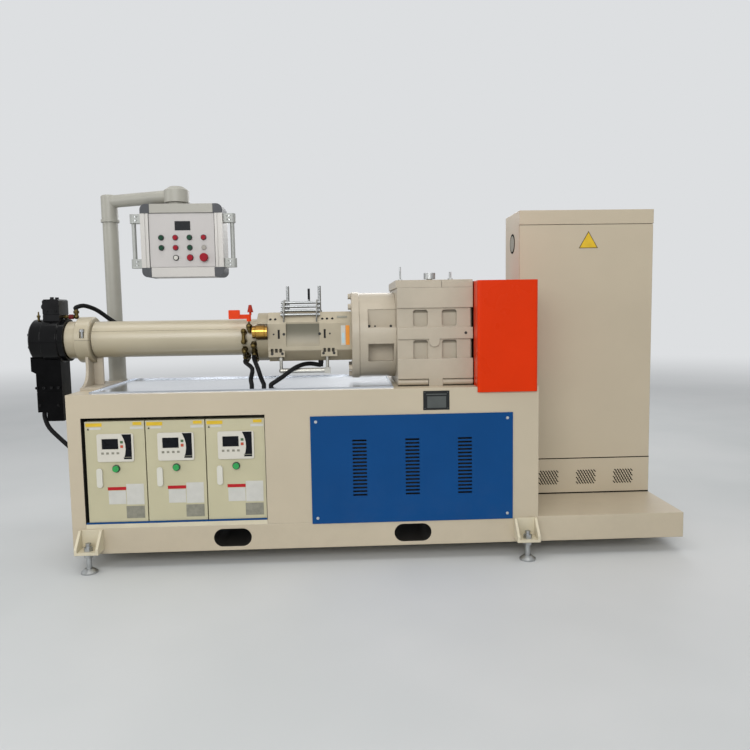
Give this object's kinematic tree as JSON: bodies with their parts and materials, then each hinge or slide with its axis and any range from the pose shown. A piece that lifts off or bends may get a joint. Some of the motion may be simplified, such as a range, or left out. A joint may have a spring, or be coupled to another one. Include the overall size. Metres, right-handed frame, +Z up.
{
  "type": "plastic extruder",
  "caption": "Extruder on a box frame: black crosshead, jacketed barrel, feed housing, gearbox with belt guard, temperature units, cabinet and a swinging operator panel.",
  "frame": {"origin": "on the floor, in the middle of the footprint; the screw axis lies in the plane Y = 0", "axes": "+X from the head to the cabinet, +Y from the operator's side to the back, +Z up"},
  "size_m": [3.16, 0.8708, 1.8258],
  "materials": {
    "cream_paint": "semi-gloss",
    "zinc_steel": "zinc plated",
    "stainless_steel": "polished",
    "blue_paint": "satin",
    "white_plastic": "matte",
    "brass": "worn",
    "black_hose": "matte",
    "black_steel": "oiled black",
    "orange_paint": "gloss",
    "orange_plastic": "dip coated",
    "panel_aluminium": "coated",
    "dark_plastic": "matte",
    "button_plastic": "gloss"
  },
  "bodies": {
    "frame": {"chassis": "cream_paint", "base_frame": "cream_paint", "foot_brackets": "cream_paint", "levelling_feet": "zinc_steel", "drip_tray": "stainless_steel", "louvre_panel": "blue_paint", "unit_sill": "cream_paint", "temp_unit_1": "cream_paint", "temp_unit_2": "cream_paint", "temp_unit_3": "cream_paint", "unit_controllers": "white_plastic", "unit_gauges": "white_plastic", "barrel_jacket": "cream_paint", "barrel_nose": "cream_paint", "barrel_clamp": "cream_paint", "barrel_support": "cream_paint", "neck_flange": "cream_paint", "water_fittings": "brass", "water_sleeve": "brass", "water_valve": "brass", "valve_lever": "orange_plastic", "feed_housing": "cream_paint", "guide_brackets": "stainless_steel", "guide_bars": "stainless_steel", "cooling_pipe": "stainless_steel", "water_hoses": "black_hose", "head_block": "black_steel", "head_drum": "black_steel", "head_lower": "black_steel", "head_hoses": "black_hose", "gearbox_bell": "cream_paint", "gearbox_body": "cream_paint", "gearbox_cover": "cream_paint", "gearbox_plugs": "zinc_steel", "drive_guard": "orange_paint", "cabinet_body": "cream_paint", "cabinet_plinth": "cream_paint", "cabinet_door": "cream_paint", "column": "cream_paint"},
    "arm": {"swing_arm": "cream_paint"},
    "panel": {"panel_box": "panel_aluminium", "panel_corners": "dark_plastic", "panel_face": "white_plastic", "panel_handles": "panel_aluminium", "panel_buttons": "button_plastic"}
  },
  "joints": [
    {"name": "arm_swing", "type": "hinge", "parent": "frame", "child": "arm", "pos_m": [-1.276, 0.3, 1.671], "axis": [0, 0, 1], "range_deg": [-65, 110]},
    {"name": "panel_swivel", "type": "hinge", "parent": "arm", "child": "panel", "pos_m": [-0.87742, 0.13081, 1.73084], "axis": [0, 0, 1], "range_deg": [-100, 100]}
  ]
}
